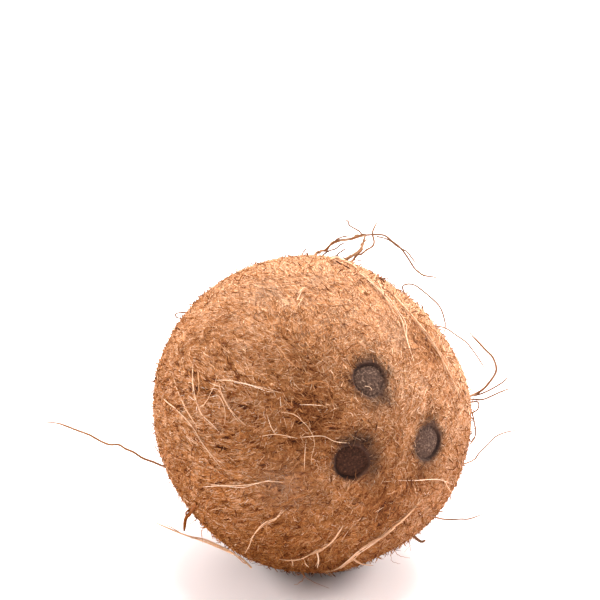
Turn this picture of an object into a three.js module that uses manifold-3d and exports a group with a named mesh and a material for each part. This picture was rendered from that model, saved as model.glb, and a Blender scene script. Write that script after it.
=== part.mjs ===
// A husked coconut, lying on its side with its eye end towards the front.
// Millimetres, +Z up, origin at the middle of the small flat spot that it rests on.
import * as THREE from 'three';
import { mergeVertices } from 'three/addons/utils/BufferGeometryUtils.js';
import Module from 'manifold-3d';

const wasm = await Module();
wasm.setup();

// The nut's size: its length is measured from the eye end to the far end
const nutLength = 115;
const nutWide = 112;
const nutNarrow = 107;
const wideTurn = 34; // degrees from the top to the wider way across
const footRadius = 9.5; // of the flat spot underneath

// How the nut lies: the eye end looks a little up and to the right
const eyeEndLift = 12;
const eyeEndTurn = 29.5;

// Rings of points about the long axis, with fewer points on the rings near the ends
const ringCount = 34;
const columnCount = 96;

// Places on the nut: polar is degrees from the eye end, turn is degrees round from the top
const eyes = [
  { polar: 18.6, turn: 20.4, radius: 5.6 },
  { polar: 18.1, turn: 116, radius: 5.6 },
  { polar: 14.2, turn: -117.5, radius: 5.9 },
];
const eyeDepth = 1.9; // of the groove round each eye
const eyeDome = 1.0; // how far the plug in the eye swells out of that
const eyeClear = 11; // degrees round each eye that stay free of loose fibres
const seams = [
  { turn: -45, height: 1.1 },
  { turn: 66, height: 1.2 },
  { turn: 175, height: 1.0 },
];
const seamWidth = 4;
const swellings = [
  { polar: 66, turn: -44, height: -1.4, spread: 13 },
  { polar: 86, turn: -12, height: 0.7, spread: 11 },
  { polar: 53, turn: -88, height: 0.8, spread: 11 },
  { polar: 91, turn: 150, height: 1.0, spread: 14 },
  { polar: 66, turn: -166, height: -1.0, spread: 11 },
  { polar: 36, turn: -43, height: -0.9, spread: 6 },
  { polar: 33, turn: 66, height: -0.9, spread: 6 },
  { polar: 34, turn: 175, height: -0.8, spread: 6 },
];

// The coat of fibre, drawn coarser than life: ribs along the nut, broken into tufts
const tuftHeight = 0.95;
const tuftRoughness = 0.4;
const footClear = 11; // degrees round the flat spot where the coat is smooth

// Loose fibres that stand off the coat all round
const looseCount = 126;
const looseRadius = 0.46;
const looseLength = 16;
const looseSteps = 4;
const looseLift = 1.2; // least height off the coat
const looseFloorGap = 4; // least height above the floor
const rootDepth = 1.6; // how far each root goes into the nut
const strandSeed = 20477;

// Long strands, each a path of points right and up of the nut's middle as seen from the
// front, with the radius at its root and at its tip. out lifts it from the coat at each point.
const sketchDistance = 500;
const sketchHeight = 20; // degrees above level
const strands = [
  { path: [[-48, -20], [-55.5, -17.5], [-62, -14], [-73, -10.5], [-78, -8], [-86, -5], [-94, -3.5]],
    root: 0.6, tip: 0.45 },
  { path: [[-41, -30], [-42.5, -33.5], [-43.5, -36.5], [-44, -41]], root: 0.75, tip: 0.6, out: 1.6 },
  { path: [[-22, -47], [-29.5, -47], [-39, -45], [-48.5, -40.5], [-55, -37.5]],
    root: 0.5, tip: 0.45, out: 1.4 },
  { path: [[2, 51], [5.5, 57.5], [9, 61], [15, 63]], root: 0.5, tip: 0.45 },
  { path: [[5, 51], [9.5, 59.5], [14, 61.5], [22, 63], [27.5, 62], [32.5, 58], [36.5, 51.5], [41, 48.5],
    [44.5, 47.5]], root: 0.6, tip: 0.45 },
  { path: [[30, 46], [27, 60.5], [33, 56.5], [38, 52]], root: 0.45, tip: 0.45 },
  { path: [[7, 50], [8.5, 55], [14.5, 56], [17, 58], [19.5, 62.5]], root: 0.9, tip: 0.6 },
  { path: [[16, 50], [17.5, 56.5], [22.5, 60], [22, 63.5], [24.5, 68.5]], root: 0.6, tip: 0.45 },
  { path: [[12, 50], [20, 60.5], [18, 64], [14.5, 66], [12.5, 68.5]], root: 0.45, tip: 0.45 },
  { path: [[32, 38], [34, 45.5], [40, 42.8], [45.5, 37.5], [48, 30], [46, 24]], root: 0.5, tip: 0.45 },
  { path: [[43, 31], [50, 29], [55, 25.5], [59.5, 19.5], [63, 13]], root: 0.45, tip: 0.45 },
  { path: [[51, 4], [57.5, 6.5], [63, 11], [65.5, 16], [61.5, 22.5], [56, 28.5]], root: 0.6, tip: 0.45 },
  { path: [[50, 7.5], [58, 7.8], [64.5, 9.5], [70, 13.5]], root: 0.45, tip: 0.45 },
  { path: [[50, 4.5], [57, 5], [64, 6], [71, 9]], root: 0.45, tip: 0.45 },
  { path: [[50, 3], [58.5, 3.2], [58.5, -0.5], [59.5, -6.5], [56, -13]], root: 0.5, tip: 0.45 },
  { path: [[51, -19], [57, -16.5], [62.5, -10.5], [69.5, -6.5], [73.5, -5.5]], root: 0.5, tip: 0.45 },
  { path: [[41, -36], [50, -37.5], [56, -37], [61, -35]], root: 0.5, tip: 0.45 },
  { path: [[-55.5, 8], [-47.5, 1], [-41, -5.5], [-34.5, -15], [-31.5, -19]], root: 0.5, tip: 0.45, out: 1 },
  { path: [[-42, 20], [-40.5, 5.5], [-38, -1], [-31.5, -7.5]], root: 0.5, tip: 0.45, out: 1 },
  { path: [[-38, -24.5], [-24, -25.5], [-15, -24], [-8, -24]], root: 0.5, tip: 0.45, out: 1 },
  { path: [[-9, -33], [-16, -38.5], [-21.5, -45], [-23, -49]], root: 0.5, tip: 0.45, out: 1 },
  { path: [[13, -38], [8, -44.5], [1, -48], [-7, -50], [-12, -50]], root: 0.7, tip: 0.5, out: 1.2 },
  { path: [[30, -38.5], [22, -44], [14, -49], [6, -52]], root: 0.5, tip: 0.45, out: 1 },
  { path: [[17, 50.5], [26, 41], [32.5, 32], [34, 25.5], [37, 17]], root: 0.5, tip: 0.45, out: 1 },
];

const degrees = THREE.MathUtils.degToRad;

// Turns the nut's own frame, with +Z at the eye end and +Y at the top, into the model's
const lie = new THREE.Matrix4().makeRotationFromEuler(
  new THREE.Euler(degrees(90 - eyeEndLift), 0, degrees(eyeEndTurn), 'ZYX'));
const unlie = lie.clone().invert();

function nutDirection(polar, turn) {
  const across = Math.sin(polar);
  return new THREE.Vector3(-across * Math.sin(turn), across * Math.cos(turn), Math.cos(polar));
}

function polarAndTurn(direction) {
  return { polar: Math.acos(direction.z), turn: Math.atan2(-direction.x, direction.y) };
}

function bump(distance, spread) {
  return Math.exp(-(distance * distance) / (2 * spread * spread));
}

// The coat's radius without its tufts: an oval with three low seams and some swellings
function coatRadius(direction) {
  const { polar, turn } = polarAndTurn(direction);
  const across = Math.sin(polar);
  const wide = across * Math.cos(turn - degrees(wideTurn)) / (nutWide / 2);
  const narrow = across * Math.sin(turn - degrees(wideTurn)) / (nutNarrow / 2);
  const along = Math.cos(polar) / (nutLength / 2);
  let radius = 1 / Math.hypot(wide, narrow, along);
  const fade = Math.min(1, across * 3) * (1 + Math.cos(polar)) / 2;
  for (const seam of seams) {
    const aside = Math.atan2(Math.sin(turn - degrees(seam.turn)), Math.cos(turn - degrees(seam.turn)));
    radius += seam.height * fade * bump(aside * across * nutWide / 2, seamWidth);
  }
  for (const place of swellings) {
    const apart = direction.angleTo(nutDirection(degrees(place.polar), degrees(place.turn)));
    radius += place.height * bump(apart, degrees(place.spread));
  }
  return radius;
}

// Repeatable random numbers from 0 to 1
function makeRandom(seed) {
  let state = seed;
  return () => {
    state = (state * 16807) % 2147483647;
    return state / 2147483647;
  };
}

const down = new THREE.Vector3(0, 0, -1).transformDirection(unlie);

// Ribs that alternate from column to column and swell and sink along the nut, smooth underneath
function tufts(direction, columns, random) {
  const { polar, turn } = polarAndTurn(direction);
  const rib = Math.cos(columns / 2 * turn);
  const strength = 0.6 + 0.4 * Math.sin(11 * polar + 4 * Math.sin(3 * turn) + 2 * Math.sin(7 * turn));
  const clear = 1 - bump(direction.angleTo(down), degrees(footClear));
  return clear * (tuftHeight * rib * strength + tuftRoughness * (2 * random() - 1));
}

// Triangles between two rings, or between a ring and the single point at an end
function stitch(faces, upper, lower) {
  let i = 0;
  let j = 0;
  while (i < upper.count || j < lower.count) {
    const a = upper.start + i % upper.count;
    const b = lower.start + j % lower.count;
    const upperFirst = (i + 1) * lower.count <= (j + 1) * upper.count;
    const moveUpper = j === lower.count || (i < upper.count && upperFirst);
    const next = moveUpper ? upper.start + (i + 1) % upper.count : lower.start + (j + 1) % lower.count;
    if (next !== a && next !== b) faces.push(a, b, next);
    if (moveUpper) i += 1;
    else j += 1;
  }
}

function ringColumns(polar) {
  const across = Math.sin(polar);
  if (across < 1e-6) return 1;
  if (across < 0.3) return columnCount / 4;
  return across < 0.56 ? columnCount / 2 : columnCount;
}

function coatGeometry() {
  const random = makeRandom(strandSeed);
  const positions = [];
  const faces = [];
  let upper = null;
  for (let k = 0; k <= ringCount; k += 1) {
    const polar = Math.PI * k / ringCount;
    const ring = { start: positions.length / 3, count: ringColumns(polar) };
    for (let c = 0; c < ring.count; c += 1) {
      const direction = nutDirection(polar, 2 * Math.PI * c / ring.count);
      const radius = coatRadius(direction) + tufts(direction, ring.count, random);
      positions.push(...direction.multiplyScalar(radius).toArray());
    }
    if (upper) stitch(faces, upper, ring);
    upper = ring;
  }
  const geometry = new THREE.BufferGeometry();
  geometry.setAttribute('position', new THREE.Float32BufferAttribute(positions, 3));
  geometry.setIndex(faces);
  return geometry.applyMatrix4(lie);
}

// The cutter for one eye: a shallow dish with a groove round a domed plug
function eyeGeometry({ polar, turn, radius }) {
  const direction = nutDirection(degrees(polar), degrees(turn));
  const profile = [[0, -eyeDepth + eyeDome], [radius * 0.45, -eyeDepth + eyeDome * 0.8],
    [radius * 0.8, -eyeDepth + eyeDome * 0.2], [radius * 0.92, -eyeDepth], [radius * 1.12, 4], [0, 4]];
  const cutter = new THREE.LatheGeometry(profile.map(([r, h]) => new THREE.Vector2(r, h)), 20);
  cutter.rotateX(Math.PI / 2);
  const place = new THREE.Matrix4().lookAt(direction, new THREE.Vector3(), new THREE.Vector3(0, 1, 0));
  place.setPosition(direction.multiplyScalar(coatRadius(direction)));
  return cutter.applyMatrix4(place.premultiply(lie));
}

// A thin three-sided strand along a smooth path, tapering from its root to its tip
function strandGeometry(points, steps, rootRadius, tipRadius) {
  const path = new THREE.CatmullRomCurve3(points, false, 'centripetal');
  const { normals, binormals } = path.computeFrenetFrames(steps, false);
  const positions = [];
  const faces = [0, 2, 1];
  for (let k = 0; k <= steps; k += 1) {
    const middle = path.getPointAt(k / steps);
    const radius = THREE.MathUtils.lerp(rootRadius, tipRadius, k / steps);
    for (let side = 0; side < 3; side += 1) {
      const angle = 2 * Math.PI * side / 3;
      const corner = middle.clone();
      corner.addScaledVector(normals[k], radius * Math.cos(angle));
      corner.addScaledVector(binormals[k], radius * Math.sin(angle));
      positions.push(...corner.toArray());
      if (k === steps) continue;
      const a = 3 * k + side;
      const b = 3 * k + (side + 1) % 3;
      faces.push(a, b, b + 3, a, b + 3, a + 3);
    }
  }
  faces.push(3 * steps, 3 * steps + 1, 3 * steps + 2);
  const geometry = new THREE.BufferGeometry();
  geometry.setAttribute('position', new THREE.Float32BufferAttribute(positions, 3));
  geometry.setIndex(faces);
  return geometry;
}

function coatRadiusAt(place) {
  return coatRadius(place.clone().transformDirection(unlie));
}

// A point sketched in the front view, set on the nut, or level with its edge where it passes it
const sketchBack = new THREE.Vector3(0, -Math.cos(degrees(sketchHeight)), Math.sin(degrees(sketchHeight)));
const sketchUp = new THREE.Vector3(0, Math.sin(degrees(sketchHeight)), Math.cos(degrees(sketchHeight)));

function sketchPoint([right, up], out) {
  const eye = sketchBack.clone().multiplyScalar(sketchDistance);
  const aim = new THREE.Vector3(right, 0, 0).addScaledVector(sketchUp, up);
  const ray = aim.sub(eye).normalize();
  const nearest = eye.clone().addScaledVector(ray, -eye.dot(ray));
  let point = nearest.clone();
  for (let pass = 0; pass < 4; pass += 1) {
    const radius = coatRadiusAt(point) + out;
    const depth = Math.sqrt(Math.max(0, radius * radius - nearest.lengthSq()));
    point = nearest.clone().addScaledVector(ray, -depth);
  }
  return point;
}

function longStrand({ path, root, tip, out = 0 }) {
  const points = path.map((place) => sketchPoint(place, out));
  points[0].setLength(coatRadiusAt(points[0]) - rootDepth);
  return strandGeometry(points, 2 * (path.length - 1), root, tip);
}

// A loose fibre: it leaves the coat near the nut's long way, bends aside and lifts off
function looseStrand(index, random) {
  const height = 1 - 2 * (index + 0.5) / looseCount;
  const flat = Math.sqrt(1 - height * height);
  const spiral = index * Math.PI * (3 - Math.sqrt(5)) + 0.4 * random();
  const root = new THREE.Vector3(flat * Math.cos(spiral), flat * Math.sin(spiral), height);
  const axis = new THREE.Vector3(0, 0, 1).transformDirection(lie);
  const along = axis.addScaledVector(root, -axis.dot(root)).normalize();
  const aside = new THREE.Vector3().crossVectors(root, along);
  let heading = (random() < 0.5 ? 0 : Math.PI) + 1.6 * (random() - 0.5);
  const bend = 1.1 * (random() - 0.5);
  const rise = 3 + 5 * random();
  const length = looseLength * (0.6 + 0.8 * random());
  const points = [];
  const place = root.clone().multiplyScalar(coatRadiusAt(root));
  for (let k = 0; k <= looseSteps; k += 1) {
    const lift = k === 0 ? -rootDepth : looseLift + rise * (k / looseSteps) ** 1.5;
    points.push(place.clone().setLength(coatRadiusAt(place) + lift));
    place.addScaledVector(along, Math.cos(heading) * length / looseSteps);
    place.addScaledVector(aside, Math.sin(heading) * length / looseSteps);
    heading += bend;
  }
  return points;
}

function nearEye(point) {
  return eyes.some(({ polar, turn }) => {
    const eye = nutDirection(degrees(polar), degrees(turn)).transformDirection(lie);
    return point.angleTo(eye) < degrees(eyeClear);
  });
}

function solidFrom(geometry) {
  geometry.deleteAttribute('normal');
  geometry.deleteAttribute('uv');
  const merged = mergeVertices(geometry, 1e-5);
  return new wasm.Manifold(new wasm.Mesh({
    numProp: 3,
    vertProperties: Float32Array.from(merged.attributes.position.array),
    triVerts: Uint32Array.from(merged.index.array),
  }));
}

function geometryFrom(solid) {
  const mesh = solid.getMesh();
  const geometry = new THREE.BufferGeometry();
  geometry.setAttribute('position', new THREE.BufferAttribute(mesh.vertProperties, 3));
  geometry.setIndex(new THREE.BufferAttribute(mesh.triVerts, 1));
  geometry.computeVertexNormals();
  return geometry;
}

// The nut's middle stands this high, so that cutting it level leaves the flat spot
const middleHeight = Math.sqrt(coatRadius(down) ** 2 - footRadius ** 2);

function coconutGeometry() {
  let solid = solidFrom(coatGeometry());
  for (const eye of eyes) solid = solid.subtract(solidFrom(eyeGeometry(eye)));
  for (const strand of strands) solid = solid.add(solidFrom(longStrand(strand)));
  const random = makeRandom(strandSeed);
  for (let index = 0; index < looseCount; index += 1) {
    const points = looseStrand(index, random);
    const low = points.some((point) => point.z < looseFloorGap - middleHeight);
    if (low || points.some(nearEye)) continue;
    solid = solid.add(solidFrom(strandGeometry(points, looseSteps, looseRadius * 1.2, looseRadius)));
  }
  const ground = new THREE.BoxGeometry(2 * nutLength, 2 * nutLength, nutLength);
  ground.translate(0, 0, -middleHeight - nutLength / 2);
  return geometryFrom(solid.subtract(solidFrom(ground)));
}

const coir = new THREE.MeshStandardMaterial({ color: 0xb5825a, roughness: 0.9, metalness: 0 });

const coconut = new THREE.Mesh(coconutGeometry(), coir);
coconut.name = 'coconut';
coconut.position.z = middleHeight;

const model = new THREE.Group();
model.add(coconut);

export default model;
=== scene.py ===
import math

import bpy
import numpy as np
from mathutils import Matrix, Vector


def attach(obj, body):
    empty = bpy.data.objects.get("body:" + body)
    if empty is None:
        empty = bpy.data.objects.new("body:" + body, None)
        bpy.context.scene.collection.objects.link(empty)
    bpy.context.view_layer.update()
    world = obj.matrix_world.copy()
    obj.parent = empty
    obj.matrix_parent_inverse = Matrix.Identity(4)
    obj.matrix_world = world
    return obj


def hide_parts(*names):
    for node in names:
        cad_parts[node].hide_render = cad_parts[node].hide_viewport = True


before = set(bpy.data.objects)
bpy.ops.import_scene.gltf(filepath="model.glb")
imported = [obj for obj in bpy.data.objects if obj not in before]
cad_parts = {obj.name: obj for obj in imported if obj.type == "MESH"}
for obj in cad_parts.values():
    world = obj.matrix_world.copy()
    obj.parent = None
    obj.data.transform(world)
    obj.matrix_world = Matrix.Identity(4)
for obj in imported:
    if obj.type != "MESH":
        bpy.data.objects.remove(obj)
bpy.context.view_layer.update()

mm = 0.001
goldenAngle = math.pi * (3 - math.sqrt(5))

# The nut lies on its side. polar is degrees from the eye end, turn is degrees round from the top.
nut = {
    "length": 115, "wide": 112, "narrow": 107, "wideTurn": 34,
    "footRadius": 9.5, "eyeEndLift": 12, "eyeEndTurn": 29.5,
    "seamWidth": 4, "seamStart": 3,  # how fast the seams rise from the eye end
    "seams": [(-45, 1.1), (66, 1.2), (175, 1.0)],  # turn and height
    "swellings": [  # polar, turn, height and spread
        (66, -44, -1.4, 13), (86, -12, 0.7, 11), (53, -88, 0.8, 11), (91, 150, 1.0, 14),
        (66, -166, -1.0, 11), (36, -43, -0.9, 6), (33, 66, -0.9, 6), (34, 175, -0.8, 6),
    ],
}

# side is where the rim is sharpest and deepest, in degrees, with 0 at the viewer's right and 90 up; halo is
# how dark the ring round the eye is, partly the husk's own and partly painted shade
eyes = [
    {"polar": 18.6, "turn": 20.4, "radius": 5.6, "dark": 0.15, "side": 125, "halo": 0.85},
    {"polar": 18.1, "turn": 116, "radius": 5.6, "dark": 1.0, "side": 215, "halo": 0.9},
    {"polar": 14.2, "turn": -117.5, "radius": 5.9, "dark": 0.25, "side": -30, "halo": 0.85},
]

# Stains on the coat and on the eyes, with painted shade in the dark places above and beside the eyes: eye,
# then right and up of its middle, spread and strength
stainAndShades = [
    (0, 1.5, 6.6, 2.0, 0.85), (0, -2.8, 6.0, 1.7, 0.7), (0, 6.6, 3.4, 1.7, 0.7), (0, 5.0, -5.4, 2.1, 0.75),
    (0, 1.0, -8.0, 2.2, 0.5), (0, -6.4, -1.0, 1.4, 0.45), (1, -2.0, 6.6, 1.8, 0.85), (1, 1.5, 7.4, 1.8, 0.9),
    (1, 4.6, 6.0, 2.2, 0.95), (1, 7.2, 1.2, 2.0, 0.9), (1, 7.4, -3.2, 1.9, 0.7), (1, 6.0, -7.0, 1.8, 0.45),
    (2, 2.5, 6.6, 1.9, 0.85), (2, -2.5, 5.8, 1.7, 0.65), (2, 6.8, 2.0, 1.5, 0.75), (2, 6.4, -2.2, 1.4, 0.6),
    (2, -2.5, -7.6, 2.2, 0.4), (2, 2.0, -7.5, 2.0, 0.4), (2, -6.3, 0.0, 1.6, 0.5),
]

# Places where the coat is thin and rough, and shows dark: polar, turn, spread
thinPlaces = [(35, -42, 5.5), (31, 68, 6.0), (29, 172, 6.0), (20, -160, 3.5)]

# Places where it is worn grey
greyPlaces = [(68, 26, 4.5), (33, -20, 3.5), (43, 112, 5.5), (62, 8, 3.0)]


def directionOf(polar, turn):
    return np.stack([-np.sin(polar) * np.sin(turn), np.sin(polar) * np.cos(turn), np.cos(polar)], -1)


def polarAndTurn(direction):
    return np.arccos(np.clip(direction[..., 2], -1, 1)), np.arctan2(-direction[..., 0], direction[..., 1])


def placeOf(polar, turn):
    return directionOf(np.radians(float(polar)), np.radians(float(turn)))


def unit(vectors):
    return vectors / np.linalg.norm(vectors, axis=-1, keepdims=True)


def bump(distance, spread):
    return np.exp(-distance ** 2 / (2 * spread ** 2))


def degreesApart(direction, place):
    return np.degrees(np.arccos(np.clip(direction @ place, -1, 1)))


def coatRadius(direction):
    polar, turn = polarAndTurn(direction)
    across = np.sin(polar)
    wideTurn = math.radians(nut["wideTurn"])
    radius = 0.5 / np.sqrt(
        (across * np.cos(turn - wideTurn) / nut["wide"]) ** 2
        + (across * np.sin(turn - wideTurn) / nut["narrow"]) ** 2
        + (np.cos(polar) / nut["length"]) ** 2)
    fade = np.minimum(1, across * nut["seamStart"]) * (1 + np.cos(polar)) / 2
    for seamTurn, height in nut["seams"]:
        aside = turn - math.radians(seamTurn)
        aside = np.arctan2(np.sin(aside), np.cos(aside))
        radius = radius + height * fade * bump(aside * across * nut["wide"] / 2, nut["seamWidth"])
    for polarAt, turnAt, height, spread in nut["swellings"]:
        radius = radius + height * bump(degreesApart(direction, placeOf(polarAt, turnAt)), spread)
    return radius


# Turns the nut's own frame, with +Z at the eye end and +Y at the top, into the row frame
lie = np.array(Matrix.Rotation(math.radians(nut["eyeEndTurn"]), 3, "Z")
               @ Matrix.Rotation(math.radians(90 - nut["eyeEndLift"]), 3, "X"))
down = np.array([0, 0, -1.0]) @ lie
middleHeight = math.sqrt(coatRadius(down) ** 2 - nut["footRadius"] ** 2)


# Millimetres in the nut's own frame to metres in the row frame
def toRow(points):
    return (points @ lie.T + [0, 0, middleHeight]) * mm


# The camera stands where the photograph was taken from
view = {
    "height": 20, "distance": 500, "lens": 85, "sensor": 36, "nearest": 0.01, "farthest": 20,
    "pixels": 600, "middle": (311.1, 412.8),  # where the nut's middle is in the picture
}


def makeCamera():
    rise = math.radians(view["height"])
    focal = view["lens"] / view["sensor"] * view["pixels"]
    swing = math.atan((view["middle"][0] - view["pixels"] / 2) / focal)
    dip = rise - math.atan((view["middle"][1] - view["pixels"] / 2) / focal)
    back = Vector((0, -math.cos(rise), math.sin(rise)))
    bpy.ops.object.camera_add(
        location=Vector((0, 0, middleHeight * mm)) + back * view["distance"] * mm,
        rotation=(math.pi / 2 - dip, 0, swing))
    camera = bpy.context.object
    camera.name = "camera"
    camera.data.lens = view["lens"]
    camera.data.sensor_width = view["sensor"]
    camera.data.clip_start = view["nearest"]
    camera.data.clip_end = view["farthest"]
    bpy.context.scene.camera = camera


viewBack = np.array([0, -math.cos(math.radians(view["height"])), math.sin(math.radians(view["height"]))])
viewUp = np.array([0, math.sin(math.radians(view["height"])), math.cos(math.radians(view["height"]))])
viewRight = np.array([1.0, 0, 0])


def emptySelection():
    if bpy.context.object and bpy.context.object.mode != "OBJECT":
        bpy.ops.object.mode_set(mode="OBJECT")
    bpy.ops.object.select_all(action="DESELECT")


def selectOnly(piece):
    emptySelection()
    piece.select_set(True)
    bpy.context.view_layer.objects.active = piece


# Light: a white room, with a big soft light overhead and a smaller one at each side behind
light = {
    "room": 0.85,
    "lamps": [  # name, place, size and watts
        ("lampTop", (0.15, 0.25, 1.1), 0.9, 29),
        ("lampRight", (0.9, 0.3, 0.5), 0.5, 16),
        ("lampLeft", (-0.9, 0.3, 0.4), 0.5, 13),
        ("lampBack", (0, 3.8, 2.2), 3, 130),
    ],
}


def makeLight():
    scene = bpy.context.scene
    scene.view_settings.view_transform = "Standard"
    scene.world = bpy.data.worlds.new("room")
    scene.world.use_nodes = True
    background = scene.world.node_tree.nodes["Background"]
    background.inputs["Color"].default_value = (1, 1, 1, 1)
    background.inputs["Strength"].default_value = light["room"]
    for name, place, size, watts in light["lamps"]:
        aim = Vector((0, 0, middleHeight * mm)) - Vector(place)
        turn = aim.to_track_quat("-Z", "Y").to_euler()
        bpy.ops.object.light_add(type="AREA", location=place, rotation=turn)
        lamp = bpy.context.object
        lamp.name = name
        lamp.data.shape = "DISK"
        lamp.data.size = size
        lamp.data.energy = watts
        lamp.visible_camera = False


makeCamera()
makeLight()
print("camera and light are in")


# Each eye's own frame on the nut: outwards, and the viewer's right and up across it
for eye in eyes:
    eye["out"] = placeOf(eye["polar"], eye["turn"])
    eye["right"] = unit(viewRight @ lie - (viewRight @ lie @ eye["out"]) * eye["out"])
    eye["up"] = np.cross(eye["out"], eye["right"])


otherSide = 50.0  # how many times further off a place on the nut's other side counts


# Millimetres right and up of the eye's middle, along the coat
def acrossEye(direction, eye):
    reach = coatRadius(eye["out"])
    aside = direction - np.outer(direction @ eye["out"], eye["out"])
    far = np.where(direction @ eye["out"] > 0, 1.0, otherSide)
    return aside @ eye["right"] * reach * far, aside @ eye["up"] * reach * far


haloWidth = 0.9  # how far the dark round each eye's edge reaches, in millimetres; it is partly the husk's own dark ring and partly painted shade at the eye's rim


def stainAndShadeAt(direction):
    stainAndShade = np.zeros(len(direction))
    for index, right, up, spread, strength in stainAndShades:
        x, y = acrossEye(direction, eyes[index])
        stainAndShade = 1 - (1 - stainAndShade) * (1 - strength * bump(np.hypot(x - right, y - up), spread))
    # The dark ring round each eye's edge, partly the husk's own and partly painted shade at the rim
    for eye in eyes:
        x, y = acrossEye(direction, eye)
        far = np.hypot(x, y) - eye["radius"]
        halo = eye["halo"] * bump(np.maximum(far, 0), haloWidth)
        stainAndShade = 1 - (1 - stainAndShade) * (1 - halo)
    return stainAndShade


# How much each direction belongs to the places listed
def nearPlaces(direction, places):
    share = np.zeros(len(direction))
    for polar, turn, spread in places:
        share = np.maximum(share, bump(degreesApart(direction, placeOf(polar, turn)), spread))
    return share


def thinAt(direction):
    return nearPlaces(direction, thinPlaces)


def greyAt(direction):
    return nearPlaces(direction, greyPlaces)


def smooth(value, low, high):
    t = np.clip((value - low) / (high - low), 0, 1)
    return t * t * (3 - 2 * t)


# Painted light: the coat is painted paler towards the top, where the light falls on it, and darker low down,
# as painted shade, each over a span of heights from the middle
paintedLightByHeight = {"pale": 0.06, "paleSpan": (0.2, 0.95), "dark": 0.13, "darkSpan": (0.2, 0.85)}

# It is also paler or darker in broad places: polar, turn, spread and change. Most are the coat's own tone,
# but the pale place at the right side, at polar 60 and turn -75, is painted light from that side.
tonePlaces = [
    (36, 80, 13, -0.03), (12, -20, 14, 0.06), (60, -75, 26, 0.13), (42, -165, 16, 0.09), (72, 114, 16, 0.04),
    (95, 10, 30, 0.02), (60, 160, 20, 0.01), (100, 85, 22, 0.05), (35, -42, 6, -0.08), (56, -30, 16, -0.02),
    (70, 62, 18, 0.03),
]


# The coat's tone at each direction: its own paler and darker places together with the painted light and
# shade above
def toneAndPaintedLightAt(direction):
    height = (direction @ lie.T)[:, 2]
    tone = paintedLightByHeight["pale"] * smooth(height, *paintedLightByHeight["paleSpan"])
    tone = tone - paintedLightByHeight["dark"] * smooth(-height, *paintedLightByHeight["darkSpan"])
    for polar, turn, spread, change in tonePlaces:
        tone = tone + change * bump(degreesApart(direction, placeOf(polar, turn)), spread)
    return tone


# The grain runs with the fibres, so it is squeezed most along the nut
grain = {"along": 0.3, "across": 0.75}


def grainAt(direction):
    polar, turn = polarAndTurn(direction)
    along = grain["along"] * polar * nut["length"] / 2
    across = grain["across"] * nut["wide"] / 2
    return np.stack([across * np.cos(turn), across * np.sin(turn), along], -1) * mm


# The coat is smoother on top, and most pitted in the middle of what the camera sees and where it is thin
pits = {
    "even": 0.75, "most": 1.4, "onTop": -0.55, "topSpan": (0.35, 0.8),
    "inMiddle": 0.6, "middle": (60, 75), "middleSpread": 28, "whereThin": 0.6,
}


def pittedAt(direction):
    top = smooth((direction @ lie.T)[:, 2], *pits["topSpan"])
    middle = bump(degreesApart(direction, placeOf(*pits["middle"])), pits["middleSpread"])
    pitted = pits["even"] + pits["onTop"] * top + pits["inMiddle"] * middle
    return np.clip(pitted + pits["whereThin"] * thinAt(direction), 0, pits["most"])


def setAttribute(mesh, name, values):
    values = np.asarray(values, np.float32)
    kind, key = ("FLOAT", "value") if values.ndim == 1 else ("FLOAT_VECTOR", "vector")
    attribute = mesh.attributes.new(name, kind, "POINT")
    attribute.data.foreach_set(key, values.ravel())


# Materials
coirColours = [  # place on the ramp from dark to pale, and colour
    (0.0, (0.05, 0.011, 0.003)), (0.25, (0.155, 0.042, 0.008)), (0.5, (0.42, 0.17, 0.054)),
    (0.75, (0.74, 0.465, 0.29)), (1.0, (0.96, 0.83, 0.69)),
]
stainAndShadeColour = (0.038, 0.018, 0.013)
greyColour = (0.42, 0.26, 0.165)
greyEyeColours = [(0.32, (0.028, 0.015, 0.01)), (0.55, (0.085, 0.046, 0.031)), (0.72, (0.26, 0.165, 0.115))]
darkEyeColours = [(0.35, (0.018, 0.006, 0.002)), (0.6, (0.05, 0.017, 0.008)), (0.78, (0.14, 0.065, 0.035))]


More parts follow.
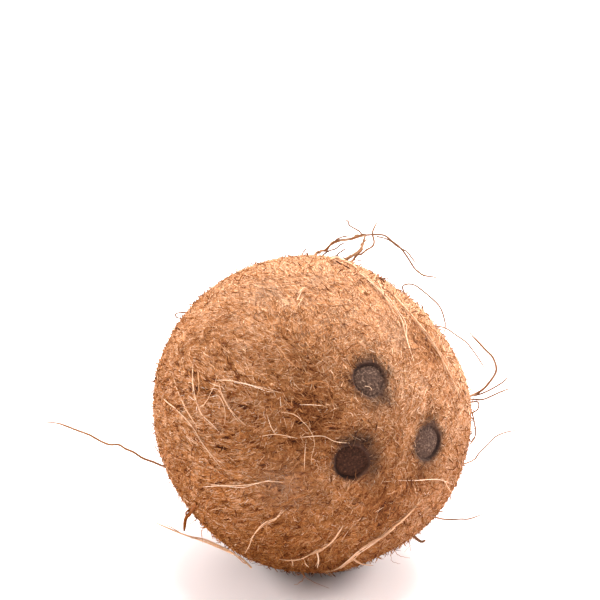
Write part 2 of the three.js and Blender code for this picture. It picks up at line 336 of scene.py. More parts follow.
# Adds nodes to a material and links them in one call
class Nodes:
    def __init__(self, name):
        self.material = bpy.data.materials.new(name)
        self.material.use_nodes = True
        self.tree = self.material.node_tree
        self.shader = self.tree.nodes["Principled BSDF"]

    def add(self, kind, values=None, **settings):
        node = self.tree.nodes.new(kind)
        for key, value in settings.items():
            setattr(node, key, value)
        for key, value in (values or {}).items():
            if isinstance(value, bpy.types.NodeSocket):
                self.tree.links.new(value, node.inputs[key])
            else:
                node.inputs[key].default_value = value
        return node

    def link(self, output, key):
        self.tree.links.new(output, self.shader.inputs[key])

    def setFinish(self, look):
        self.shader.inputs["Roughness"].default_value = look["roughness"]
        self.shader.inputs["Specular IOR Level"].default_value = look["specular"]

    def attribute(self, name):
        return self.add("ShaderNodeAttribute", attribute_name=name).outputs["Fac"]

    def noise(self, scale, detail=3, rough=0.5, along=None):
        if along:
            place = self.add("ShaderNodeAttribute", attribute_name=along).outputs["Vector"]
        else:
            place = self.add("ShaderNodeTexCoord").outputs["Object"]
        values = {"Vector": place, "Scale": scale, "Detail": detail, "Roughness": rough}
        return self.add("ShaderNodeTexNoise", values).outputs["Fac"]

    # The value's swing about a half, times size
    def about(self, value, size):
        return self.maths("MULTIPLY", self.maths("SUBTRACT", value, 0.5), size)

    def total(self, *values):
        result = values[0]
        for value in values[1:]:
            result = self.maths("ADD", result, value)
        return result

    def maths(self, operation, a, b, clamp=False):
        return self.add("ShaderNodeMath", {0: a, 1: b}, operation=operation, use_clamp=clamp).outputs[0]

    def mix(self, factor, a, b, blend="MIX"):
        node = self.add("ShaderNodeMix", {"Factor": factor}, data_type="RGBA", blend_type=blend)
        for socket, value in (("A", a), ("B", b)):
            target = [i for i in node.inputs if i.name == socket and i.type == "RGBA"][0]
            if isinstance(value, bpy.types.NodeSocket):
                self.tree.links.new(value, target)
            else:
                target.default_value = (*value, 1)
        return [o for o in node.outputs if o.type == "RGBA"][0]

    def ramp(self, factor, stops):
        node = self.add("ShaderNodeValToRGB", {"Fac": factor})
        while len(node.color_ramp.elements) < len(stops):
            node.color_ramp.elements.new(0.5)
        for element, (place, colour) in zip(node.color_ramp.elements, stops):
            element.position = place
            element.color = (*colour, 1)
        return node.outputs["Color"]


# Painted light: the floor is painted darker and warmer at the front and by the nut, for the light falling
# off towards the front and the brown light the nut throws on it, and paler further back, by its place along
# Y in metres
floorLook = {
    "near": (0.81, 0.725, 0.715), "far": (0.9, 0.86, 0.85), "start": -0.15, "reach": 0.45,
    "sides": 64, "radius": 8, "drop": 0.00002, "roughness": 0.9, "specular": 0.1,
}


def makeFloor():
    emptySelection()
    bpy.ops.mesh.primitive_circle_add(
        vertices=floorLook["sides"], radius=floorLook["radius"], fill_type="NGON",
        location=(0, 0, -floorLook["drop"]))
    floor = bpy.context.object
    floor.name = "floor"
    made = Nodes("paleFloor")
    place = made.add("ShaderNodeTexCoord").outputs["Object"]
    back = made.add("ShaderNodeSeparateXYZ", {"Vector": place}).outputs["Y"]
    back = made.maths("SUBTRACT", back, floorLook["start"])
    back = made.maths("DIVIDE", back, floorLook["reach"], clamp=True)
    made.link(made.mix(back, floorLook["near"], floorLook["far"]), "Base Color")
    made.setFinish(floorLook)
    floor.data.materials.append(made.material)


makeFloor()
print("the floor is in")


# Light and dark patches, and small dark pits that run with the fibres. Noise is scale, detail and
# roughness, as in every look below.
patchLook = {
    "pitNoise": (620, 2, 0.5), "pitFrom": 0.55, "pitSharpness": 6.0,
    "broadNoise": (55, 3), "broadSwing": 0.24, "smallNoise": (260, 3), "smallSwing": 0.18,
}


def patchyShade(made, shade, pitStrength):
    dark = made.maths("SUBTRACT", made.noise(*patchLook["pitNoise"], "grain"), patchLook["pitFrom"])
    dark = made.maths("MULTIPLY", dark, patchLook["pitSharpness"], clamp=True)
    dark = made.maths("MULTIPLY", dark, pitStrength)
    dark = made.maths("MULTIPLY", dark, made.attribute("pitted"))
    broad = made.about(made.noise(*patchLook["broadNoise"]), patchLook["broadSwing"])
    small = made.about(made.noise(*patchLook["smallNoise"]), patchLook["smallSwing"])
    patches = made.maths("MULTIPLY", made.total(broad, small), made.attribute("pitted"))
    return made.maths("SUBTRACT", made.maths("ADD", shade, patches), dark)


# Painted light: towards the top and the right, where the light falls, the coat's colour is painted duller as
# a painted highlight, and low down, in the shade, it is painted richer
paintedLightSaturation = {"way": (0.55, 0, 0.64), "even": 1.035}


def paintedLightColour(made, colour):
    place = made.add("ShaderNodeTexCoord").outputs["Object"]
    lit = made.add("ShaderNodeVectorMath", {0: place, 1: paintedLightSaturation["way"]}, operation="DOT_PRODUCT")
    vivid = made.maths("SUBTRACT", paintedLightSaturation["even"], lit.outputs["Value"])
    return made.add("ShaderNodeHueSaturation", {"Color": colour, "Saturation": vivid}).outputs["Color"]


# The coat's colour at a shade from dark to pale, with its painted light and shade by place, its grey places,
# and its stains together with the painted shade round the eyes
def coirColour(made, shade):
    colour = paintedLightColour(made, made.ramp(shade, coirColours))
    colour = made.mix(made.attribute("grey"), colour, greyColour)
    return made.mix(made.attribute("stainAndShade"), colour, stainAndShadeColour)


fibreLook = {
    "speckNoise": (1700, 2, 0.6), "speckSwing": 0.27, "pits": 0.3, "roughness": 0.72, "specular": 0.08,
}


def fibreMaterial():
    made = Nodes("coirFibre")
    specks = made.about(made.noise(*fibreLook["speckNoise"]), fibreLook["speckSwing"])
    shade = made.maths("ADD", made.attribute("shade"), specks)
    made.link(coirColour(made, patchyShade(made, shade, fibreLook["pits"])), "Base Color")
    made.setFinish(fibreLook)
    return made.material


# rim is the colour of the dark line in each eye's groove, a painted shade
groundLook = {
    "streakNoise": (1300, 4, 0.65), "grainNoise": (1500, 4, 0.65), "speckleNoise": (1500, 3, 0.6),
    "shade": 0.48, "swing": 0.9, "thinDark": 0.2, "pits": 0.42, "rim": (0.018, 0.008, 0.006),
    "roughness": 0.8, "specular": 0.15,
    "fineBump": 0.6, "speckleBump": 0.4, "bumpStrength": 0.7, "bumpDepth": 0.0004,
}


def nutMaterial():
    made = Nodes("coirGround")
    streaks = made.noise(*groundLook["streakNoise"], "grain")
    grains = made.noise(*groundLook["grainNoise"])
    fine = made.add("ShaderNodeMix", {"Factor": made.attribute("swirl"), 2: streaks, 3: grains}).outputs[0]
    # The tone holds the coat's own paler and darker places and its painted light and shade
    shade = made.total(groundLook["shade"], made.attribute("tone"), made.about(fine, groundLook["swing"]))
    thin = made.maths("MULTIPLY", made.attribute("thin"), groundLook["thinDark"])
    shade = patchyShade(made, made.maths("SUBTRACT", shade, thin), groundLook["pits"])
    speckle = made.noise(*groundLook["speckleNoise"])
    greyPlug = made.ramp(speckle, greyEyeColours)
    darkPlug = made.ramp(speckle, darkEyeColours)
    plug = made.mix(made.attribute("dark"), greyPlug, darkPlug)
    colour = made.mix(made.attribute("plug"), coirColour(made, shade), plug)
    # The dark line in each eye's groove is painted shade
    colour = made.mix(made.attribute("rim"), colour, groundLook["rim"])
    made.link(colour, "Base Color")
    made.setFinish(groundLook)
    fineBump = made.maths("MULTIPLY", fine, groundLook["fineBump"])
    speckleBump = made.maths("MULTIPLY", speckle, groundLook["speckleBump"])
    relief = made.add("ShaderNodeBump", {
        "Height": made.maths("ADD", fineBump, speckleBump),
        "Strength": groundLook["bumpStrength"], "Distance": groundLook["bumpDepth"]})
    made.link(relief.outputs["Normal"], "Normal")
    return made.material


coirFibre = fibreMaterial()
coirGround = nutMaterial()


def finishPiece(piece, material):
    piece.data.materials.clear()
    piece.data.materials.append(material)
    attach(piece, "root")
    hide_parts("coconut")


# The nut under its coat of fibre
body = {
    "around": 240, "along": 148, "sink": 0.55, "thinSink": 0.5, "greyShare": 0.35,
    "swirlSpan": (25, 60), "swirlLoss": 0.8,  # how the grain stops swirling, in degrees from the eye end
    "eyeCuts": 3, "eyeFine": 1.3, "plugCover": 0.8,
    "reliefs": [("lumps", 0.006, 0.6), ("grit", 0.0011, 0.3)],  # name, size in metres and height
    "cutLimit": 1e-7,
}

# One eye: how deep its plug lies, and where its edge, groove, rim and dark line are, in shares of its
# radius. The dark line, on the deep side, is painted shade in the groove.
eyeShape = {
    "depth": 0.6, "dome": 0.45, "domeEdge": 0.9, "edge": (0.9, 1.03), "wobbles": (0.03, 0.02),
    "groove": 0.35, "grooveAt": 0.94, "grooveWidth": 0.045, "rim": 0.25, "rimAt": 1.1, "rimWidth": 0.1,
    "lineAt": 0.96, "lineWidth": 0.05, "sharpMean": 0.62, "sharpSwing": 0.38,
}


# How far the nut sinks or rises round one eye, with its plug share and the share of its dark line, which is
# painted shade in the groove on the deep side
def eyeRelief(direction, eye):
    x, y = acrossEye(direction, eye)
    angle = np.arctan2(y, x)
    broad, small = eyeShape["wobbles"]
    wobble = 1 + broad * np.sin(3 * angle + eye["side"]) + small * np.sin(5 * angle + 2)
    share = np.hypot(x, y) / (eye["radius"] * wobble)
    sharp = eyeShape["sharpMean"] + eyeShape["sharpSwing"] * np.cos(angle - math.radians(eye["side"]))
    plug = 1 - smooth(share, *eyeShape["edge"])
    dome = eyeShape["dome"] * np.clip(1 - (share / eyeShape["domeEdge"]) ** 2, 0, 1)
    groove = -eyeShape["groove"] * sharp * bump(share - eyeShape["grooveAt"], eyeShape["grooveWidth"])
    rim = eyeShape["rim"] * sharp * bump(share - eyeShape["rimAt"], eyeShape["rimWidth"])
    offset = plug * (dome - eyeShape["depth"] + groove) + (1 - plug) * rim
    line = bump(share - eyeShape["lineAt"], eyeShape["lineWidth"])
    return offset, plug, (2 * sharp - 1) * (sharp > 0.5) * line


def makeNut():
    emptySelection()
    bpy.ops.mesh.primitive_uv_sphere_add(segments=body["around"], ring_count=body["along"], radius=1)
    piece = bpy.context.object
    piece.name = "coconut_nut"
    selectOnly(piece)
    bpy.ops.object.mode_set(mode="EDIT")
    bpy.ops.mesh.select_all(action="DESELECT")
    bpy.ops.object.mode_set(mode="OBJECT")
    centres = unit(np.array([face.center for face in piece.data.polygons]))
    near = np.zeros(len(centres), bool)
    for eye in eyes:
        x, y = acrossEye(centres, eye)
        near |= np.hypot(x, y) < eye["radius"] * body["eyeFine"]
    piece.data.polygons.foreach_set("select", near)
    bpy.ops.object.mode_set(mode="EDIT")
    bpy.ops.mesh.subdivide(number_cuts=body["eyeCuts"])
    bpy.ops.object.mode_set(mode="OBJECT")
    mesh = piece.data
    direction = np.zeros(len(mesh.vertices) * 3)
    mesh.vertices.foreach_get("co", direction)
    direction = unit(direction.reshape(-1, 3))
    radius = coatRadius(direction) - body["sink"] - body["thinSink"] * thinAt(direction)
    plugs = np.zeros(len(direction))
    paintedGrooveShades = np.zeros(len(direction))
    darks = np.zeros(len(direction))
    for eye in eyes:
        offset, plug, rim = eyeRelief(direction, eye)
        radius += offset
        plugs = np.maximum(plugs, plug)
        paintedGrooveShades = np.maximum(paintedGrooveShades, rim)
        darks = np.maximum(darks, eye["dark"] * (plug > 0))
    mesh.vertices.foreach_set("co", toRow(direction * radius[:, None]).ravel())
    mesh.update()
    setAttribute(mesh, "plug", plugs)
    setAttribute(mesh, "rim", paintedGrooveShades)
    setAttribute(mesh, "dark", darks)
    setAttribute(mesh, "stainAndShade", stainAndShadeAt(direction))
    setAttribute(mesh, "thin", thinAt(direction))
    setAttribute(mesh, "grey", body["greyShare"] * greyAt(direction))
    setAttribute(mesh, "tone", toneAndPaintedLightAt(direction))
    polar, turn = polarAndTurn(direction)
    setAttribute(mesh, "swirl", 1 - body["swirlLoss"] * smooth(np.degrees(polar), *body["swirlSpan"]))
    setAttribute(mesh, "grain", grainAt(direction))
    setAttribute(mesh, "pitted", pittedAt(direction))
    coat = piece.vertex_groups.new(name="coat")
    for index, weight in enumerate(1 - body["plugCover"] * plugs):
        coat.add([index], float(weight), "REPLACE")
    for name, size, height in body["reliefs"]:
        clouds = bpy.data.textures.new(name, "CLOUDS")
        clouds.noise_scale = size
        clouds.noise_depth = 2
        push = piece.modifiers.new(name, "DISPLACE")
        push.texture = clouds
        push.texture_coords = "LOCAL"
        push.vertex_group = "coat"
        push.strength = height * mm
        push.mid_level = 0.5
        bpy.ops.object.modifier_apply(modifier=name)
    bpy.ops.object.mode_set(mode="EDIT")
    bpy.ops.mesh.select_all(action="SELECT")
    bpy.ops.mesh.bisect(
        plane_co=(0, 0, 0), plane_no=(0, 0, 1), clear_inner=True, use_fill=True, threshold=body["cutLimit"])
    bpy.ops.object.mode_set(mode="OBJECT")
    bpy.ops.object.shade_smooth()
    finishPiece(piece, coirGround)
    return piece


def countTriangles(piece):
    return sum(len(face.vertices) - 2 for face in piece.data.polygons)


print("nut:", countTriangles(makeNut()), "triangles")


# Strands are drawn as a curve with a three or five sided section, and then made a mesh. Lowest and weld
# are in metres.
strandRule = {"shortSides": 3, "looseSides": 5, "lowest": 0.0009, "weld": 1e-6}


def makeSection(sides):
    emptySelection()
    bpy.ops.curve.primitive_bezier_circle_add(radius=mm)
    circle = bpy.context.object
    circle.name = "section" + str(sides)
    circle.data.splines.clear()
    ring = circle.data.splines.new("POLY")
    ring.points.add(sides - 1)
    ring.use_cyclic_u = True
    for k in range(sides):
        angle = 2 * math.pi * k / sides
        ring.points[k].co = (mm * math.cos(angle), mm * math.sin(angle), 0, 1)
    return circle


sections = {sides: makeSection(sides) for sides in (strandRule["shortSides"], strandRule["looseSides"])}


# One piece from many strands: points in the nut's frame, a radius at each point, and values by name
def strandPiece(name, strands, radii, sides, attributes):
    curve = bpy.data.curves.new(name, "CURVE")
    curve.dimensions = "3D"
    curve.bevel_mode = "OBJECT"
    curve.bevel_object = sections[sides]
    curve.use_fill_caps = True
    for points, radius in zip(strands, radii):
        spline = curve.splines.new("POLY")
        spline.points.add(len(points) - 1)
        place = toRow(np.asarray(points))
        place[:, 2] = np.maximum(place[:, 2], strandRule["lowest"])
        spline.points.foreach_set("co", np.column_stack([place, np.ones(len(points))]).ravel())
        spline.points.foreach_set("radius", np.asarray(radius, float))
    piece = bpy.data.objects.new(name, curve)
    bpy.context.scene.collection.objects.link(piece)
    selectOnly(piece)
    bpy.ops.object.convert(target="MESH")
    piece = bpy.context.object
    # The mesh has the caps first, from the last strand to the first, and then the sides of every strand
    order = np.arange(len(strands))
    caps = np.repeat(order[::-1], 2 * sides)
    owner = np.concatenate([caps, np.repeat(order, [sides * len(points) for points in strands])])
    for key, values in attributes.items():
        setAttribute(piece.data, key, values[owner])
    bpy.ops.object.mode_set(mode="EDIT")
    bpy.ops.mesh.select_all(action="SELECT")
    bpy.ops.mesh.remove_doubles(threshold=strandRule["weld"])
    bpy.ops.object.mode_set(mode="OBJECT")
    bpy.ops.object.shade_smooth()
    finishPiece(piece, coirFibre)
    print(name + ":", len(strands), "strands,", countTriangles(piece), "triangles")


rootShake = 0.5  # in radians round the spiral


# Directions spread evenly over the nut, a little shaken
def spreadRoots(count, random):
    k = np.arange(count) + random.random(count)
    height = 1 - 2 * k / count
    spiral = np.arange(count) * goldenAngle + random.normal(0, rootShake, count)
    flat = np.sqrt(1 - height ** 2)
    return np.stack([flat * np.cos(spiral), flat * np.sin(spiral), height], -1)


def inEye(direction, margin):
    inside = np.zeros(len(direction), bool)
    for eye in eyes:
        x, y = acrossEye(direction, eye)
        inside |= np.hypot(x, y) < eye["radius"] * margin
    return inside


# How far the layers of fibre are pressed into the coat, so that their outside keeps the solid's outline
coatSink = 0.15


# Points along strands that lie on the coat, each at its lift from it
def walk(roots, heading, bend, wiggle, length, lifts):
    steps = lifts.shape[1] - 1
    axis = np.array([0, 0, 1.0])
    along = unit(axis - (roots @ axis)[:, None] * roots)
    aside = np.cross(roots, along)
    place = roots * coatRadius(roots)[:, None]
    points = []
    for k in range(steps + 1):
        direction = unit(place)
        points.append(direction * (coatRadius(direction) + lifts[:, k] - coatSink)[:, None])
        step = (length / steps)[:, None]
        place = place + along * np.cos(heading)[:, None] * step + aside * np.sin(heading)[:, None] * step
        heading = heading + bend + wiggle * (1 if k % 2 else -1)
    return np.stack(points, 1)


# Fibres stray most near the eyes, less along the nut, and a little more at its right side
strayRule = {
    "eyeEnd": 1.5, "less": 1.1, "lessSpan": (25, 62),
    "right": 0.45, "rightTurn": -95, "rightSpread": 45, "rightSpan": (30, 60),
}


# The fibres sway over the coat: angle in radians, wave along the nut's own axes, and its start
sways = [(0.3, (8.1, 11.7, 0), 0), (0.25, (-6.3, 0, 9.9), 2), (0.2, (0, 20.7, 15.3), 0)]


# The way that the fibres run, as an angle from the nut's long way, and how far they stray
def flow(direction):
    polar, turn = polarAndTurn(direction)
    sway = sum(angle * np.sin(direction @ wave + start) for angle, wave, start in sways)
    stray = strayRule["eyeEnd"] - strayRule["less"] * smooth(np.degrees(polar), *strayRule["lessSpan"])
    right = bump(np.degrees(turn) - strayRule["rightTurn"], strayRule["rightSpread"])
    right = right * smooth(np.degrees(polar), *strayRule["rightSpan"])
    return sway, stray + strayRule["right"] * right


# What all layers of the coat share. Pairs with a mean are mean and spread, and spreads alone are shares.
coatRule = {
    "lengthSpread": 0.3, "radiusSpread": 0.22, "tuck": 0.5, "heightLeast": 0.5, "heightPitted": 0.5,
    "spreadLeast": 0.3, "spreadPitted": 0.55, "thinDark": 0.12, "shadeLeast": 0.02,
    "stainAndShade": (0.95, 0.2), "grey": (0.3, 0.2),
    "eyeGaps": (1.0, 0.97, 0.9),  # how near to an eye's middle a root, middle and tip may be, in its radius
}


def coatPiece(settings):
    random = np.random.default_rng(settings["seed"])
    roots = spreadRoots(settings["count"], random)
    sway, stray = flow(roots)
    count = len(roots)
    heading = sway + stray * settings["stray"] * random.normal(0, 1, count)
    heading = heading + math.pi * (random.random(count) < 0.5)
    bend = random.normal(0, settings["bend"], count)
    wiggle = random.normal(0, settings["wiggle"], count)
    length = settings["length"] * np.exp(random.normal(0, coatRule["lengthSpread"], count))
    base, rise = settings["lift"]
    pitted = coatRule["heightLeast"] + coatRule["heightPitted"] * np.minimum(1, pittedAt(roots))
    height = (base + rise * random.random(count) ** 2) * pitted
    shape = np.array(settings["arch"])
    lifts = height[:, None] * shape - coatRule["tuck"] * (shape == 0)
    points = walk(roots, heading, bend, wiggle, length, lifts)
    middle = unit(points[:, points.shape[1] // 2])
    thin = thinAt(middle)
    rootGap, middleGap, tipGap = coatRule["eyeGaps"]
    keep = ~inEye(unit(points[:, 0]), rootGap) & ~inEye(middle, middleGap)
    keep &= ~inEye(unit(points[:, -1]), tipGap)
    keep &= random.random(count) > settings["thinning"] * thin
    radius = settings["radius"] * np.exp(random.normal(0, coatRule["radiusSpread"], count))
    radii = radius[:, None] * np.array(settings["taper"])
    spread = coatRule["spreadLeast"] + coatRule["spreadPitted"] * pittedAt(middle)
    shade = settings["shade"] + settings["shadeSpread"] * spread * random.normal(0, 1, count)
    # Each strand's shade takes the tone, with its painted light and shade, and is darker where the coat is
    # thin
    shade = np.clip(shade + toneAndPaintedLightAt(middle) - coatRule["thinDark"] * thin, coatRule["shadeLeast"], 1)
    stainAndShade = stainAndShadeAt(middle) * np.clip(random.normal(*coatRule["stainAndShade"], count), 0, 1)
    grey = greyAt(middle) * np.clip(random.normal(*coatRule["grey"], count), 0, 1)
    values = {
        "shade": shade, "stainAndShade": stainAndShade, "grey": grey,
        "grain": grainAt(middle), "pitted": pittedAt(middle),
    }
    kept = {key: value[keep] for key, value in values.items()}
    strandPiece(settings["name"], points[keep], radii[keep], strandRule["shortSides"], kept)


coats = [
    {"name": "coat_under", "seed": 11, "count": 24500, "length": 2.2, "stray": 0.7,
     "bend": 0.0, "wiggle": 0.0, "lift": (0.05, 0.12), "arch": (0.7, 1), "radius": 0.13,
     "taper": (0.9, 0.7), "shade": 0.48, "shadeSpread": 0.12, "thinning": 0.4},
    {"name": "coat_streaks", "seed": 12, "count": 14200, "length": 2.8, "stray": 0.6,
     "bend": 0.2, "wiggle": 0.2, "lift": (0.1, 0.22), "arch": (0, 1, 0.7), "radius": 0.1,
     "taper": (0.9, 1, 0.6), "shade": 0.53, "shadeSpread": 0.12, "thinning": 0.6},
    {"name": "coat_curls", "seed": 13, "count": 14200, "length": 1.7, "stray": 1.0,
     "bend": 0.4, "wiggle": 0.2, "lift": (0.1, 0.2), "arch": (0, 1, 0.6), "radius": 0.11,
     "taper": (0.9, 1, 0.7), "shade": 0.53, "shadeSpread": 0.12, "thinning": 0.6},
    {"name": "coat_bits", "seed": 14, "count": 24500, "length": 1.0, "stray": 1.2,
     "bend": 0.0, "wiggle": 0.0, "lift": (0.15, 0.25), "arch": (0, 1), "radius": 0.12,
     "taper": (1, 0.7), "shade": 0.5, "shadeSpread": 0.17, "thinning": 0.4},
]
for settings in coats:
    coatPiece(settings)


# Fuzz that stands off the coat and softens its outline
fuzz = {
    "seed": 15, "count": 6200, "length": 2.2, "lengthSpread": 0.35, "bend": 0.9, "eyeGap": 1.15,
    "lift": 1.5, "liftLeast": 0.35, "arch": (0, 0.6, 1.0), "tuck": (0.5, 0, 0),
    "radius": 0.15, "radiusSpread": 0.25, "taper": (1, 0.9, 0.4), "shade": (0.36, 0.14), "shadeLeast": 0.05,
}


def fuzzPiece():
    random = np.random.default_rng(fuzz["seed"])
    roots = spreadRoots(fuzz["count"], random)
    roots = roots[~inEye(roots, fuzz["eyeGap"])]
    count = len(roots)
    heading = random.random(count) * 2 * math.pi
    bend = random.normal(0, fuzz["bend"], count)
    length = fuzz["length"] * np.exp(random.normal(0, fuzz["lengthSpread"], count))
    height = fuzz["lift"] * (fuzz["liftLeast"] + random.random(count) ** 2)
    lifts = height[:, None] * np.array(fuzz["arch"]) - fuzz["tuck"]
    points = walk(roots, heading, bend, bend * 0, length, lifts)
    radius = fuzz["radius"] * np.exp(random.normal(0, fuzz["radiusSpread"], count))
    shade = np.clip(random.normal(*fuzz["shade"], count), fuzz["shadeLeast"], 1)
    radii = radius[:, None] * np.array(fuzz["taper"])
    values = {"shade": shade, "stainAndShade": stainAndShadeAt(roots), "grey": greyAt(roots)}
    strandPiece("fuzz", points, radii, strandRule["shortSides"], values)


fuzzPiece()


# Loose fibres all round, by the same rule as the solid's
loose = {
    "seed": 20477, "factor": 16807, "modulus": 2147483647, "toneSeed": 16,
    "count": 126, "length": 16, "lengthShares": (0.6, 0.8), "steps": 4, "rootDepth": 1.6,
    "spin": 0.4, "heading": 1.6, "bend": 1.1, "lift": 1.2, "rises": (3, 5), "riseCurve": 1.5,
    "eyeGap": 2.0, "floorGap": 4, "tuck": 0.6, "shake": 0.12, "points": 13,
    "radius": 0.15, "radiusShares": (0.6, 1.2), "tipShare": 0.4, "shade": (0.52, 0.12), "shadeLeast": 0.1,
}


# The same generator as the source's, so that both draw the same numbers
def makeRandom(seed):
    state = [seed]

    def draw():
        state[0] = state[0] * loose["factor"] % loose["modulus"]
        return state[0] / loose["modulus"]
    return draw


def coatRadiusAt(place):
    return float(coatRadius(unit(np.asarray(place) @ lie)))


def setLength(place, length):
    return place / np.linalg.norm(place) * length


def looseStrand(index, random):
    height = 1 - 2 * (index + 0.5) / loose["count"]
    spiral = index * goldenAngle + loose["spin"] * random()
    flat = math.sqrt(1 - height * height)
    root = np.array([flat * math.cos(spiral), flat * math.sin(spiral), height])
    axis = lie @ [0, 0, 1.0]
    along = unit(axis - (axis @ root) * root)
    aside = np.cross(root, along)
    heading = (0 if random() < 0.5 else math.pi) + loose["heading"] * (random() - 0.5)
    bend = loose["bend"] * (random() - 0.5)
    leastRise, moreRise = loose["rises"]
    rise = leastRise + moreRise * random()
    leastLength, moreLength = loose["lengthShares"]
    length = loose["length"] * (leastLength + moreLength * random())
    points = []
    place = root * coatRadiusAt(root)
    for k in range(loose["steps"] + 1):
        lift = loose["lift"] + rise * (k / loose["steps"]) ** loose["riseCurve"]
        if k == 0:
            lift = -loose["rootDepth"]
        points.append(setLength(place, coatRadiusAt(place) + lift))
        place = place + along * math.cos(heading) * length / loose["steps"]
        place = place + aside * math.sin(heading) * length / loose["steps"]
        heading += bend
    return np.array(points)


# More points along the same path, on Catmull-Rom curves
def smoothPath(points, count):
    padded = np.vstack([2 * points[0] - points[1], points, 2 * points[-1] - points[-2]])
    gaps = len(points) - 1
    path = []
    for s in np.linspace(0, gaps, count):
        k = min(int(s), gaps - 1)
        t = s - k
        a, b, c, d = padded[k:k + 4]
        path.append(0.5 * (2 * b + (c - a) * t + (2 * a - 5 * b + 4 * c - d) * t ** 2
                           + (3 * b - a - 3 * c + d) * t ** 3))
    return np.array(path)


